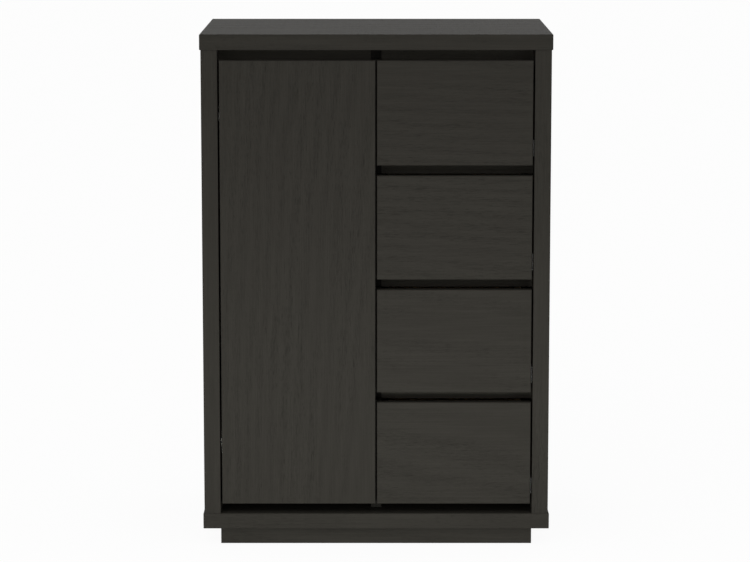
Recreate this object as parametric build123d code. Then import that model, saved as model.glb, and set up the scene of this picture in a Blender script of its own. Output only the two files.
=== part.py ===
from build123d import *
from math import cos, hypot, pi
import os

os.makedirs("parts", exist_ok=True)

# A floor-standing cabinet with one tall door on the left and four equal
# drawers on the right. Nothing has a handle: each front is pulled by the
# open gap above it. Lengths are in millimetres and angles in degrees.
# X runs to the right seen from the front, the front faces -Y, Z is up, and
# the origin is on the floor under the middle of the footprint.

# ---------------------------------------------------------------- case sizes
case_width = 600.0  # over the top and bottom boards
case_depth = 400.0
case_height = 887.0
board_thickness = 26.5  # top and bottom boards
board_overhang = 2.0  # of those boards past the sides, at the ends and in front
side_thickness = 28.0
divider_thickness = 18.0
divider_setback = 2.0  # front edge of the divider behind the fronts
back_thickness = 4.0
back_inset = 10.0  # rear face of the back panel in from the boards' rear edges
back_groove_depth = 8.0
panel_slack = 0.1  # on each face and edge of a panel in its groove
edge_chamfer = 0.8  # on the boards' outer edges

# Small round pieces and their holes have flat sides, to keep the model light.
# A hole that something turns in is wide enough for the corners of its pin.
fixing_sides = 8  # dowels and shelf pins
pin_sides = 12  # screws, rivets and hinge pins
roller_sides = 24
cup_sides = 24

# -------------------------------------------------------------------- plinth
plinth_height = 29.0
plinth_thickness = 18.0
plinth_side_inset = 30.0
plinth_front_inset = 12.0
plinth_rear_inset = 20.0
block_leg = 45.0  # triangular blocks in the plinth's corners
block_screw_share = 0.3  # of a leg, from the rails to the block's screw

# ------------------------------------------------------- fronts and the gaps
drawer_count = 4
front_thickness = 18.0
front_recess = 1.0  # front faces behind the front edges of the sides
side_gap = 3.0  # at the outer edges and between the door and the drawers
finger_gap = 18.0  # above every front
lower_gap = 17.0  # under the lowest drawer and the door
pocket_depth = 28.0  # from the back of a front to the rail behind its gap
rail_depth = 40.0
rail_lap = 2.0  # of a rail behind the front below its gap
top_rail_thickness = 18.0
top_rail_height = 28.0

# -------------------------------------------------------------- drawer boxes
box_board = 12.0  # sides and back
box_rear_play = 15.0  # from the boxes to the back panel
box_lift = 16.0  # lower edge of the box over the lower edge of its front
box_drop = 22.0  # upper edge of the box under the upper edge of its front
box_back_inset = 6.0
front_housing = 6.0  # depth that the box sides are let into the front
back_housing = 4.0
bottom_thickness = 4.0
bottom_rise = 10.0  # lower face of the bottom over the box's lower edge
bottom_groove_depth = 5.0
box_edge_chamfer = 1.2

# ------------------------------------------------------------ roller runners
runner_gap = 12.7  # from the case to the box on each side
runner_front_inset = 3.0  # cabinet rail behind the back of the fronts
rail_sheet = 1.2
rail_height = 28.0
rail_flange = 10.0
rail_lip = 6.0
roller_radius = 11.0
roller_width = 6.0
roller_inset = 2.3  # side of a roller from the cabinet rail's web
roller_play = 0.25  # between a roller and each flange
roller_bore_play = 0.05
rivet_radius = 2.0
rivet_head_radius = 3.5
rivet_head_height = 1.0
head_play = 0.2  # between a roller and its rivet's head
roller_end_inset = 15.0  # roller axes from the ends of their rails
rear_roller_extra = 1.0  # the rear roller stands in by this much more
box_seat = 3.0  # lower edge of the box over the cabinet rail's lower face
rider_inset = 3.0  # free edge of the box rail's rider from the case
box_kept_in = 95.0  # of a box that stays in the case when its drawer is out
stop_play = 0.3
stop_height = 8.0

# ---------------------------------------------- door hinges, plan in mm from
# the side panel's inner face (first number) and the door's front (second)
hinge_end_distance = 100.0  # cup centres from the door's ends
cup_centre = 25.5
cup_radius = 17.4
cup_depth = 13.0
cup_wall = 0.8
cup_floor = 0.6
cup_seat_play = 0.1
cup_rim_radius = 19.4
cup_rim_thickness = 1.2
cup_screw_spacing = 48.0
cup_screw_offset = 9.5
ear_start = 2.0  # the cup's ears, from its centre towards the hinge arm's side
ear_margin = 6.0  # round the ears' screws, up and down
ear_width = 15.0
ear_corner = 3.5
arm_pin_inner = (38.2, 8.9)
arm_pin_outer = (38.2, 23.3)
cup_pin_inner = (15.5, 8.9)
cup_pin_outer = (12.35, 12.5)
inner_link_bow = 2.0
outer_link_knee = (6.0, 6.2)  # from the cup pin: along the line of pins, and off it
outer_link_knee_radius = 3.0
link_thickness = 1.6
pin_radius = 1.0
pin_seat = 1.4  # length of a pin in the cup's cheeks
cup_notch_depth = 8.0  # lowered part of the cup's wall beside the door's edge
pin_play = 0.05
open_pin_play = 1.35  # the outer links' pivot in the cup runs in a wide hole
open_pin_shift = (-0.2, -0.55)  # middle of that wide hole from the pin's closed place
inner_link_half_width = 3.0
layer_play = 0.25  # between neighbouring layers of a hinge, along its pins
arm_cheek = 1.5
link_eye_wall = 0.85  # round a pin, in a link
link_eye_extra = 0.6  # more of it round the outer links' pin in the arm
arm_eye_wall = 0.9  # round a pin, in the arm
arm_shoulder = (-1.5, 7.5)  # corners of the arm, from the outer links' pin
arm_elbow = (-8.0, 2.0)
arm_root = (5.0, 5.0)  # of the fork, from the pins
arm_nose = 0.3  # more of the arm round the outer links' pin
arm_throat = 4.0  # from that pin towards the inner one
crank_lead = 6.0  # crank's start before the plate
crank_foot = (0.0, 2.0)  # corners of the crank, from that start on the plate's face
crank_under = (5.0, -5.0)
crank_shoulder = (14.0, 3.0)
crank_end = (8.5, 9.0)  # its first number is the arm's height over the plate
arm_end_gap = 3.0  # end of the arm in from the plate's end
arm_waist = 1.6  # start of the wide part behind the outer links' eyes
outer_link_sheet = 1.2
plate_thickness = 2.2
plate_start = 40.0
plate_length = 58.0
plate_half_width = 7.5
wing_start = 50.0
wing_length = 16.0
wing_half_height = 24.0
wing_corner = 4.0
wing_screw_height = 16.0

# ----------------------------------------------------- shelves and fastenings
shelf_count = 2
shelf_thickness = 15.0
shelf_rear_play = 5.0  # from the shelves to the back panel
shelf_end_gap = 1.0
shelf_front_inset = 48.0  # from the fronts' faces to the shelf
pin_hole_radius = 2.5
pin_hole_depth = 9.0
pin_hole_pitch = 32.0
pin_rows = 3  # holes for each shelf, one above the other
pin_column_inset = 45.0  # from the ends of the shelf
peg_length = 7.0
peg_collar = 0.8
peg_collar_lip = 1.0
dowel_radius = 4.0
dowel_length = 30.0
dowel_share = 0.4  # of a dowel in the board that carries the joint
dowel_inset = 70.0  # from the front and rear edges of the boards
dowel_play = 0.05
screw_radius = 2.0
screw_head_radius = 4.0
screw_head_height = 2.4
screw_play = 0.02
plinth_screw_length = 42.0
wing_screw_length = 15.0
through_cut = 1.0  # by which a cut passes the face that it opens
bumper_radius = 3.0
bumper_play = 0.3
bumper_end_distance = 60.0

# ------------------------------------------------- places worked out from them
board_front = -case_depth / 2
board_rear = case_depth / 2
side_outer = case_width / 2 - board_overhang
side_inner = side_outer - side_thickness
side_front = board_front + board_overhang
front_face = side_front + front_recess
front_back = front_face + front_thickness
opening_bottom = plinth_height + board_thickness
opening_top = case_height - board_thickness
front_height = (opening_top - opening_bottom - lower_gap) / drawer_count - finger_gap
divider_half = divider_thickness / 2
divider_front = front_back + divider_setback
back_front = board_rear - back_inset - back_thickness
pocket_front = front_back + pocket_depth

door_left = -side_inner + side_gap
door_right = -side_gap / 2
door_bottom = opening_bottom + lower_gap
door_top = opening_top - finger_gap
drawer_left = side_gap / 2
drawer_right = side_inner - side_gap
hinge_heights = [door_bottom + hinge_end_distance, door_top - hinge_end_distance]

box_left = divider_half + runner_gap
box_right = side_inner - runner_gap
box_length = back_front - box_rear_play - front_back
box_rear = front_back + box_length
box_back_front = box_rear - box_back_inset - box_board

shelf_front = front_face + shelf_front_inset
shelf_rear = back_front - shelf_rear_play
shelf_space = (opening_top - opening_bottom) / (shelf_count + 1)


def front_bottom(number):
    """Lower edge of a drawer front; drawer 1 is the highest."""
    return door_bottom + (drawer_count - number) * (front_height + finger_gap)


def slab(x, y, z):
    """A flat board between the limits of three (low, high) pairs."""
    size = [high - low for low, high in (x, y, z)]
    middle = [(high + low) / 2 for low, high in (x, y, z)]
    return Pos(*middle) * Box(*size)


def rod(centre, axis, radius, length, sides=pin_sides):
    """A bar of many sides, centred on a point along X, Y or Z."""
    turn = {"X": Rot(0, 90, 0), "Y": Rot(90, 0, 0), "Z": Rot(0, 0, 0)}[axis]
    bar = extrude(RegularPolygon(radius, sides), length / 2, both=True)
    return Pos(*centre) * turn * bar


def clearing(radius, sides=pin_sides):
    """Corner radius of a hole whose flat sides clear a circle."""
    return radius / cos(pi / sides)


def soften(solid, face_axis, size):
    """Ease the edges of the face that lies furthest back along an axis."""
    face = solid.faces().sort_by(face_axis)[0]
    return chamfer(face.edges(), size)


def save(name, *solids):
    """Write one node; several solids go in as a group."""
    loose = [piece for solid in solids for piece in solid.solids()]
    whole = loose[0] if len(loose) == 1 else Compound(children=loose)
    export_step(whole, f"parts/{name}.step")


# ------------------------------------------------------------------ fastenings
def dowel(joint_x, joint_y, joint_z, axis, toward, play=0.0):
    """A dowel through a joint face; toward is +1 or -1, the way its long end points."""
    length = dowel_length + 2 * play
    shift = toward * dowel_length * (0.5 - dowel_share)
    centre = [joint_x, joint_y, joint_z]
    centre["XYZ".index(axis)] += shift
    return rod(centre, axis, dowel_radius + (dowel_play if play else 0.0), length, fixing_sides)


def dowel_joints():
    """Joint point, axis and direction of each dowel of the case."""
    joints = []
    side_middle = side_outer - side_thickness / 2
    for x in (-side_middle, 0.0, side_middle):
        for y in (board_front + dowel_inset, board_rear - dowel_inset):
            joints.append((x, y, opening_top, "Z", -1))
            joints.append((x, y, opening_bottom, "Z", 1))
    rail_middle = pocket_front + rail_depth / 2
    for number in range(2, drawer_count + 1):
        height = front_bottom(number) + front_height + (finger_gap - rail_lap) / 2
        joints.append((divider_half, rail_middle, height, "X", 1))
        joints.append((side_inner, rail_middle, height, "X", -1))
    top_middle = pocket_front + top_rail_thickness / 2
    height = opening_top - top_rail_height / 2
    joints.append((-side_inner, top_middle, height, "X", 1))
    joints.append((-divider_half, top_middle, height - dowel_radius, "X", -1))
    joints.append((divider_half, top_middle, height + dowel_radius, "X", 1))
    joints.append((side_inner, top_middle, height, "X", -1))
    return joints


def screw(length, play=0.0):
    """A countersunk screw standing on its tip's side: head at Z 0, shank down."""
    head, shank = screw_head_radius + play, screw_radius + play
    lower = -screw_head_height
    cone = loft([RegularPolygon(head, pin_sides), Pos(0, 0, lower) * RegularPolygon(shank, pin_sides)])
    reach = length + play - screw_head_height
    return cone + Pos(0, 0, lower) * extrude(RegularPolygon(shank, pin_sides), reach, dir=(0, 0, -1))


def plinth_screw_places():
    """Heads under the corner blocks, shanks up into the bottom board."""
    inset = plinth_thickness + block_leg * block_screw_share
    x = case_width / 2 - plinth_side_inset - inset
    front = board_front + plinth_front_inset + inset
    rear = board_rear - plinth_rear_inset - inset
    return [Pos(sign * x, y, 0) * Rot(180, 0, 0) for sign in (-1, 1) for y in (front, rear)]


def wing_screw_places():
    """Heads on the hinge plates' wings, shanks into the left side."""
    y = front_face + wing_start + wing_length / 2
    x = -side_inner + plate_thickness
    return [
        Pos(x, y, height + sign * wing_screw_height) * Rot(0, 90, 0)
        for height in hinge_heights
        for sign in (-1, 1)
    ]


def all_screws(play=0.0):
    return [place * screw(plinth_screw_length, play) for place in plinth_screw_places()] + [
        place * screw(wing_screw_length, play) for place in wing_screw_places()
    ]


dowel_holes = [dowel(*joint, play=1.0) for joint in dowel_joints()]
screw_holes = all_screws(screw_play)
back_groove = slab(
    (-side_inner - back_groove_depth, side_inner + back_groove_depth),
    (back_front - panel_slack, back_front + back_thickness + panel_slack),
    (opening_bottom - back_groove_depth, opening_top + back_groove_depth),
)


def near(solid, tools):
    """The cutting solids whose boxes meet a solid's box."""
    box = solid.bounding_box()
    found = []
    for tool in tools:
        other = tool.bounding_box()
        apart = (
            other.min.X > box.max.X or other.max.X < box.min.X
            or other.min.Y > box.max.Y or other.max.Y < box.min.Y
            or other.min.Z > box.max.Z or other.max.Z < box.min.Z
        )
        if not apart:
            found.append(tool)
    return found


def drilled(solid, *more):
    """A board with the holes for its dowels and screws, and any other cuts."""
    for tool in near(solid, dowel_holes + screw_holes + list(more)):
        solid -= tool
    return solid


# ------------------------------------------------------------------------ case
def case_board(bottom):
    """Top or bottom board: wider than the sides, all outer edges eased."""
    across, height = (-case_width / 2, case_width / 2), (bottom, bottom + board_thickness)
    board = slab(across, (board_front, board_rear), height)
    return drilled(chamfer(board.edges(), edge_chamfer), back_groove)


def side_panel(sign):
    across = sorted((sign * side_inner, sign * side_outer))
    panel = slab(across, (side_front, board_rear), (opening_bottom, opening_top))
    long_edges = panel.faces().sort_by(Axis.Y)[0].edges().filter_by(Axis.Z)
    holes = shelf_pin_holes() if sign < 0 else []
    return drilled(chamfer(long_edges, edge_chamfer), back_groove, *holes)


def gaps():
    """Height limits of the finger gaps, and of the gap under the lowest front."""
    tops = [front_bottom(number) + front_height for number in range(1, drawer_count + 1)]
    return [(top, top + finger_gap) for top in tops] + [(opening_bottom, door_bottom)]


def divider():
    """Upright between door and drawers, set back at every gap so that it doesn't show there."""
    panel = slab(
        (-divider_half, divider_half), (divider_front, back_front), (opening_bottom, opening_top)
    )
    long_edges = panel.faces().sort_by(Axis.Y)[0].edges().filter_by(Axis.Z)
    panel = chamfer(long_edges, edge_chamfer)
    for limits in gaps():
        panel -= slab((-divider_half, divider_half), (front_back, pocket_front), limits)
    return drilled(panel, *shelf_pin_holes())


def back_panel():
    reach = back_groove_depth - panel_slack
    return slab(
        (-side_inner - reach, side_inner + reach),
        (back_front, back_front + back_thickness),
        (opening_bottom - reach, opening_top + reach),
    )


# Rails behind the finger gaps: they close the view and stiffen the case.
def gap_rail(number):
    """Flat rail behind the gap over a drawer, from divider to side."""
    gap_bottom = front_bottom(number) + front_height
    rail = slab(
        (divider_half, side_inner),
        (pocket_front, pocket_front + rail_depth),
        (gap_bottom - rail_lap, gap_bottom + finger_gap),
    )
    long_edges = rail.faces().sort_by(Axis.Y)[0].edges().filter_by(Axis.X)
    return drilled(chamfer(long_edges, edge_chamfer))


def top_rail(left, right):
    """Upright rail hung under the top board behind the highest gap."""
    depth = (pocket_front, pocket_front + top_rail_thickness)
    return drilled(slab((left, right), depth, (opening_top - top_rail_height, opening_top)))


# Plinth: four rails under the bottom board, with a block in each corner.
plinth_x = case_width / 2 - plinth_side_inset
plinth_front_face = board_front + plinth_front_inset
plinth_rear_face = board_rear - plinth_rear_inset
inner_x = plinth_x - plinth_thickness
inner_front = plinth_front_face + plinth_thickness
inner_rear = plinth_rear_face - plinth_thickness


def plinth_rails():
    across, along, height = (-plinth_x, plinth_x), (inner_front, inner_rear), (0.0, plinth_height)
    save("plinth_front", slab(across, (plinth_front_face, inner_front), height))
    save("plinth_back", slab(across, (inner_rear, plinth_rear_face), height))
    save("plinth_left", slab((-plinth_x, -inner_x), along, height))
    save("plinth_right", slab((inner_x, plinth_x), along, height))


def plinth_blocks():
    blocks = []
    for sign in (-1, 1):
        for y, inward in ((inner_front, 1), (inner_rear, -1)):
            corner = (sign * inner_x, y)
            ends = (sign * (inner_x - block_leg), y), (sign * inner_x, y + inward * block_leg)
            triangle = make_face(Polyline(corner, *ends, corner))
            blocks.append(drilled(extrude(triangle, plinth_height, dir=(0, 0, 1))))
    return blocks


# --------------------------------------------------------------------- shelves
def shelf_height(number):
    """Lower face of a shelf; shelf 1 is the highest."""
    return opening_bottom + (shelf_count + 1 - number) * shelf_space - shelf_thickness / 2


def pin_columns():
    return (shelf_front + pin_column_inset, shelf_rear - pin_column_inset)


def pin_heights(number):
    """Hole heights for one shelf; the middle one is in use."""
    used = shelf_height(number) - pin_hole_radius
    return [used + (row - (pin_rows - 1) / 2) * pin_hole_pitch for row in range(pin_rows)]


def shelf_pin_holes():
    return [
        rod((wall, y, height), "X", pin_hole_radius, 2 * pin_hole_depth, fixing_sides)
        for wall in (-side_inner, -divider_half)
        for y in pin_columns()
        for number in range(1, shelf_count + 1)
        for height in pin_heights(number)
    ]


def shelf_pin():
    """A peg along X: stem in the wall (x < 0), collar, then the part that carries."""
    stem = pin_hole_radius - dowel_play
    sections = [
        (dowel_play - pin_hole_depth, 0, stem),
        (0, peg_collar, stem + peg_collar_lip),
        (peg_collar, peg_length, pin_hole_radius),
    ]
    bars = [
        rod(((start + end) / 2, 0, 0), "X", radius, end - start, fixing_sides)
        for start, end, radius in sections
    ]
    return bars[0] + bars[1] + bars[2]


def shelf(number):
    low = shelf_height(number)
    board = slab(
        (-side_inner + shelf_end_gap, -divider_half - shelf_end_gap),
        (shelf_front, shelf_rear),
        (low, low + shelf_thickness),
    )
    return soften(board, Axis.Y, edge_chamfer)


def shelf_pins():
    pins = []
    for number in range(1, shelf_count + 1):
        height = shelf_height(number) - pin_hole_radius
        for y in pin_columns():
            pins.append(Pos(-side_inner, y, height) * shelf_pin())
            pins.append(Pos(-divider_half, y, height) * Rot(0, 0, 180) * shelf_pin())
    return pins


# ------------------------------------------------------------------ door hinge
def plan(point):
    """A point of the hinge's plan in the cabinet's X and Y."""
    return (point[0] - side_inner, point[1] + front_face)


def off_line(start, end, along, aside):
    """A point at a distance along a line of pins, and aside to the right of its way."""
    length = hypot(end[0] - start[0], end[1] - start[1])
    x, y = (end[0] - start[0]) / length, (end[1] - start[1]) / length
    return (start[0] + x * along + y * aside, start[1] + y * along - x * aside)


def disc(point, radius):
    return Pos(*plan(point)) * RegularPolygon(radius, pin_sides)


def pin_bar(point, radius, half_length):
    x, y = plan(point)
    return rod((x, y, 0), "Z", radius, 2 * half_length)


def between(profile, low, high):
    """A flat profile raised from one height to another."""
    return Pos(0, 0, low) * extrude(profile, high - low, dir=(0, 0, 1))


cheek_inside = inner_link_half_width + layer_play
cheek_outside = cheek_inside + arm_cheek
outer_link_inside = cheek_outside + 2 * layer_play
outer_link_outside = outer_link_inside + outer_link_sheet
arm_half_width = outer_link_outside + layer_play
link_eye = pin_radius + link_eye_wall
arm_eye = pin_radius + arm_eye_wall
cup_inside = cup_radius - cup_wall
pocket_half_width = outer_link_outside + layer_play


def inner_link():
    """Short bowed block with a pin through each end, at height 0."""
    half = hypot(arm_pin_inner[0] - cup_pin_inner[0], arm_pin_inner[1] - cup_pin_inner[1]) / 2
    middle = off_line(cup_pin_inner, arm_pin_inner, half, inner_link_bow)
    bow = ThreePointArc(plan(cup_pin_inner), plan(middle), plan(arm_pin_inner))
    profile = trace(bow, link_thickness)
    profile += disc(cup_pin_inner, link_eye) + disc(arm_pin_inner, link_eye)
    block = between(profile, -inner_link_half_width, inner_link_half_width)
    arm_pin = pin_bar(arm_pin_inner, pin_radius, cheek_outside + layer_play / 2)
    cup_pin = pin_bar(cup_pin_inner, pin_radius, pocket_half_width + pin_seat)
    return block + arm_pin + cup_pin


def outer_link():
    """Two bowed cheeks outside the arm, riveted to one pin, with stub pins in the cup."""
    knee = off_line(cup_pin_outer, arm_pin_outer, *outer_link_knee)
    corners = [plan(point) for point in (cup_pin_outer, knee, arm_pin_outer)]
    profile = trace(FilletPolyline(*corners, radius=outer_link_knee_radius), link_thickness)
    profile += disc(cup_pin_outer, link_eye) + disc(arm_pin_outer, link_eye + link_eye_extra)
    link = pin_bar(arm_pin_outer, pin_radius, outer_link_outside)
    reach = pocket_half_width + pin_seat
    x, y = plan(cup_pin_outer)
    for sign in (-1, 1):
        low, high = sorted((sign * outer_link_inside, sign * outer_link_outside))
        middle = sign * (outer_link_inside + reach) / 2
        stub = rod((x, y, middle), "Z", pin_radius, reach - outer_link_inside)
        link += between(profile, low, high) + stub
    return link


def moved(point, by):
    return (point[0] + by[0], point[1] + by[1])


def hinge_arm():
    """Cranked arm: wide where it sits on its plate, narrow and forked round the links."""
    foot = (plate_thickness, plate_start - crank_lead)
    arm_end = plate_start + plate_length - arm_end_gap
    eye_left, eye_right = arm_pin_inner[0] - arm_eye, arm_pin_inner[0] + arm_eye
    corners = [
        (eye_left, arm_pin_inner[1]),
        (eye_right, arm_pin_inner[1]),
        moved(arm_pin_outer, (arm_eye + arm_nose, arm_eye_wall)),
        moved(arm_pin_outer, arm_shoulder),
        moved(foot, crank_shoulder),
        moved(foot, crank_end),
        (foot[0] + crank_end[0], arm_end),
        (foot[0], arm_end),
        moved(foot, crank_foot),
        moved(foot, crank_under),
        moved(arm_pin_outer, arm_elbow),
        (eye_left, arm_pin_outer[1] - arm_throat),
        (eye_left, arm_pin_inner[1]),
    ]
    profile = make_face(Polyline(*[plan(corner) for corner in corners])) + disc(arm_pin_inner, arm_eye)
    arm = between(profile, -cheek_outside, cheek_outside)
    x_low, x_high = plan((0, 0))[0], plan(moved(arm_pin_outer, arm_root))[0]
    wide_from = plan((0, arm_pin_outer[1] + link_eye + arm_waist))[1]
    wide_to = plan((0, plate_start + plate_length))[1]
    wide = between(profile, -arm_half_width, arm_half_width)
    arm += wide & slab((x_low, x_high), (wide_from, wide_to), (-arm_half_width, arm_half_width))
    fork_low, fork_high = plan((0, 0))[1], plan(moved(arm_pin_inner, arm_root))[1]
    arm -= slab((x_low, x_high), (fork_low, fork_high), (-cheek_inside, cheek_inside))
    for pin in (arm_pin_inner, arm_pin_outer):
        arm -= pin_bar(pin, clearing(pin_radius + pin_play), arm_half_width)
    return arm


def hinge_plate():
    """Mounting plate with an upper and a lower wing, on the side's inner face."""
    sheet = (-side_inner, -side_inner + plate_thickness)
    y_low, y_wing = plan((0, plate_start))[1], plan((0, wing_start))[1]
    base = slab(sheet, (y_low, y_low + plate_length), (-plate_half_width, plate_half_width))
    wings = slab(sheet, (y_wing, y_wing + wing_length), (-wing_half_height, wing_half_height))
    corners = wings.edges().filter_by(Axis.X)
    return base + chamfer(corners, wing_corner)


def hinge_cup():
    """Cast cup with a pocket for the links, let down where they pass the door's edge."""
    door_back = front_thickness
    x, _ = plan((cup_centre, 0))
    floor = door_back - cup_depth

    def round_bar(radius, low, high):
        y_low, y_high = plan((0, low))[1], plan((0, high))[1]
        return rod((x, (y_low + y_high) / 2, 0), "Y", radius, y_high - y_low, cup_sides)

    rim = cup_rim_thickness
    cup = round_bar(cup_radius, floor, door_back)
    cup += round_bar(cup_rim_radius, door_back, door_back + rim)
    y_back = plan((0, door_back))[1]
    half_span = cup_screw_spacing / 2 + ear_margin
    ear_x = (x + ear_start, x + ear_start + ear_width)
    ears = slab(ear_x, (y_back, y_back + rim), (-half_span, half_span))
    cup += chamfer(ears.edges().filter_by(Axis.Y), ear_corner)
    y_floor, y_open = plan((0, floor + cup_floor))[1], y_back + 2 * rim
    pocket_height = (-pocket_half_width, pocket_half_width)
    pocket = slab((x - cup_radius, x + cup_radius), (y_floor, y_open), pocket_height)
    inside = clearing(cup_inside, cup_sides)
    cup -= round_bar(inside, floor + cup_floor, door_back + 2 * rim) & pocket
    notch_right = plan((cup_centre - cup_inside / 2, 0))[0]
    notch_low = plan((0, door_back - cup_notch_depth))[1]
    cup -= slab((x - 2 * cup_radius, notch_right), (notch_low, y_open), pocket_height)
    cup -= pin_bar(cup_pin_inner, clearing(pin_radius + pin_play), cup_rim_radius)
    wide_hole = (cup_pin_outer[0] + open_pin_shift[0], cup_pin_outer[1] + open_pin_shift[1])
    cup -= pin_bar(wide_hole, clearing(pin_radius + open_pin_play), cup_rim_radius)
    return cup


def at_hinges(solid):
    return [Pos(0, 0, height) * solid for height in hinge_heights]


def door_panel():
    panel = slab((door_left, door_right), (front_face, front_back), (door_bottom, door_top))
    panel = soften(panel, Axis.Y, edge_chamfer)
    bore_depth = cup_depth + cup_seat_play
    x, _ = plan((cup_centre, 0))
    for height in hinge_heights:
        bore_centre = (x, front_back, height)
        panel -= rod(bore_centre, "Y", cup_radius + cup_seat_play, 2 * bore_depth, cup_sides)
    return panel


def door_bumpers():
    """Soft pads on the divider's front edge, just clear of the closed door."""
    height = divider_setback - bumper_play
    x = (door_right - divider_half + edge_chamfer) / 2
    y = divider_front - height / 2
    return [
        rod((x, y, z), "Y", bumper_radius, height)
        for z in (door_bottom + bumper_end_distance, door_top - bumper_end_distance)
    ]


# --------------------------------------------------------------------- runners
# A rail's profile is drawn with u from the case towards the box and w upwards
# from the lower face of the cabinet rail.
roller_axis = rail_sheet + roller_play + roller_radius
rider_bottom = roller_axis + roller_radius + roller_play
rider_top = rider_bottom + rail_sheet
box_web = runner_gap - rail_sheet
roller_near = rail_sheet + roller_inset
roller_far = roller_near + roller_width
rail_start = front_back + runner_front_inset
front_roller_y = rail_start + roller_end_inset
rear_roller_y = front_back + box_length - roller_end_inset - rear_roller_extra
drawer_travel = box_length - box_kept_in
travel_tab_y = front_roller_y + drawer_travel + roller_radius + stop_play


def runner_height(number):
    """Lower face of a drawer's cabinet rails."""
    return front_bottom(number) + box_lift - box_seat


def profile_bar(points, y_low, y_high):
    """A closed (u, w) outline pulled from one depth to another."""
    outline = Polyline(*[(u, 0, w) for u, w in points + points[:1]])
    return Pos(0, y_low, 0) * extrude(make_face(outline), y_high - y_low, dir=(0, 1, 0))


def headed_rivet(u_from, u_to, y):
    """A rivet from a rail's web, with its head at the far end."""
    step = rivet_head_height if u_to > u_from else -rivet_head_height
    shank = rod(((u_from + u_to) / 2, y, roller_axis), "X", rivet_radius, abs(u_to - u_from))
    head = rod((u_to - step / 2, y, roller_axis), "X", rivet_head_radius, rivet_head_height)
    return shank + head


def cabinet_rail():
    """Channel screwed to the case, with a roller rivet in front and a stop behind."""
    s, h = rail_sheet, rail_height
    channel = [(0, 0), (rail_flange, 0), (rail_flange, s), (s, s)]
    channel += [(s, h - s), (rail_lip, h - s), (rail_lip, h), (0, h)]
    rail = profile_bar(channel, rail_start, rail_start + box_length)
    rail += headed_rivet(s, roller_far + head_play + rivet_head_height, front_roller_y)
    stop_y = rear_roller_y + roller_radius + stop_play
    return rail + slab((s, rail_flange), (stop_y, stop_y + s), (s, s + stop_height))


def box_rail():
    """Rail under the box side: it carries the box, rides the front roller and holds the rear one."""
    s, web = rail_sheet, box_web
    seat_right = runner_gap + box_board
    bottom = box_seat - s
    seat = [(web, bottom), (seat_right, bottom), (seat_right, box_seat), (runner_gap, box_seat)]
    seat += [(runner_gap, rider_top), (web, rider_top)]
    rail = profile_bar(seat, front_back, front_back + box_length)
    rider = [(rider_inset, rider_bottom), (web, rider_bottom)]
    rider += [(web, rider_top), (rider_inset, rider_top)]
    rail += profile_bar(rider, front_back + s, travel_tab_y + s)
    tab_height = (rider_bottom - stop_height, rider_bottom)
    rail += slab((roller_near, web), (travel_tab_y, travel_tab_y + s), tab_height)
    return rail + headed_rivet(web, roller_near - head_play - rivet_head_height, rear_roller_y)


def roller(y):
    """Nylon roller round its rivet."""
    middle = (roller_near + roller_far) / 2
    bore = clearing(rivet_radius + roller_bore_play)
    centre = (middle, y, roller_axis)
    wheel = rod(centre, "X", roller_radius, roller_width, roller_sides)
    return wheel - rod(centre, "X", bore, 2 * roller_width)


def left_and_right(solid, number):
    """A runner piece at the left wall and its mirror image at the right wall."""
    height = runner_height(number)
    return [
        Pos(divider_half, 0, height) * solid,
        Pos(side_inner, 0, height) * mirror(solid, Plane.YZ),
    ]


# --------------------------------------------------------------------- drawers
def drawer(number):
    """Write the wooden pieces of one drawer."""
    low = front_bottom(number)
    box_low, box_high = low + box_lift, low + front_height - box_drop
    bottom_low = box_low + bottom_rise
    slack = panel_slack

    bottom_reach = bottom_groove_depth - slack
    inside = (box_left + box_board, box_right - box_board)
    groove = slab(
        (inside[0] - bottom_groove_depth, inside[1] + bottom_groove_depth),
        (front_back - bottom_groove_depth, box_back_front + bottom_groove_depth),
        (bottom_low - slack, bottom_low + bottom_thickness + slack),
    )
    bottom = slab(
        (inside[0] - bottom_reach, inside[1] + bottom_reach),
        (front_back - bottom_reach, box_back_front + bottom_reach),
        (bottom_low, bottom_low + bottom_thickness),
    )

    def box_side(x):
        board = slab(x, (front_back - front_housing, box_rear), (box_low, box_high))
        upper = board.faces().sort_by(Axis.Z)[-1].edges().filter_by(Axis.Y)
        return chamfer(upper, box_edge_chamfer)

    left = box_side((box_left, inside[0]))
    right = box_side((inside[1], box_right))
    back = slab(
        (inside[0] - back_housing, inside[1] + back_housing),
        (box_back_front, box_back_front + box_board),
        (box_low, box_high - box_edge_chamfer),
    )
    back_slot = slab(
        (inside[0] - back_housing, inside[1] + back_housing),
        (box_back_front - slack, box_back_front + box_board + slack),
        (box_low - through_cut, box_high + through_cut),
    )

    front = slab((drawer_left, drawer_right), (front_face, front_back), (low, low + front_height))
    front = soften(front, Axis.Y, edge_chamfer)
    for x in ((box_left, inside[0]), (inside[1], box_right)):
        front -= slab(
            (x[0] - slack, x[1] + slack),
            (front_back - front_housing, front_back + through_cut),
            (box_low - slack, box_high + slack),
        )
    save(f"drawer_{number}_front", front - groove)
    save(f"drawer_{number}_left_side", left - groove - back_slot)
    save(f"drawer_{number}_right_side", right - groove - back_slot)
    save(f"drawer_{number}_back", back - groove)
    save(f"drawer_{number}_bottom", bottom)


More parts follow.
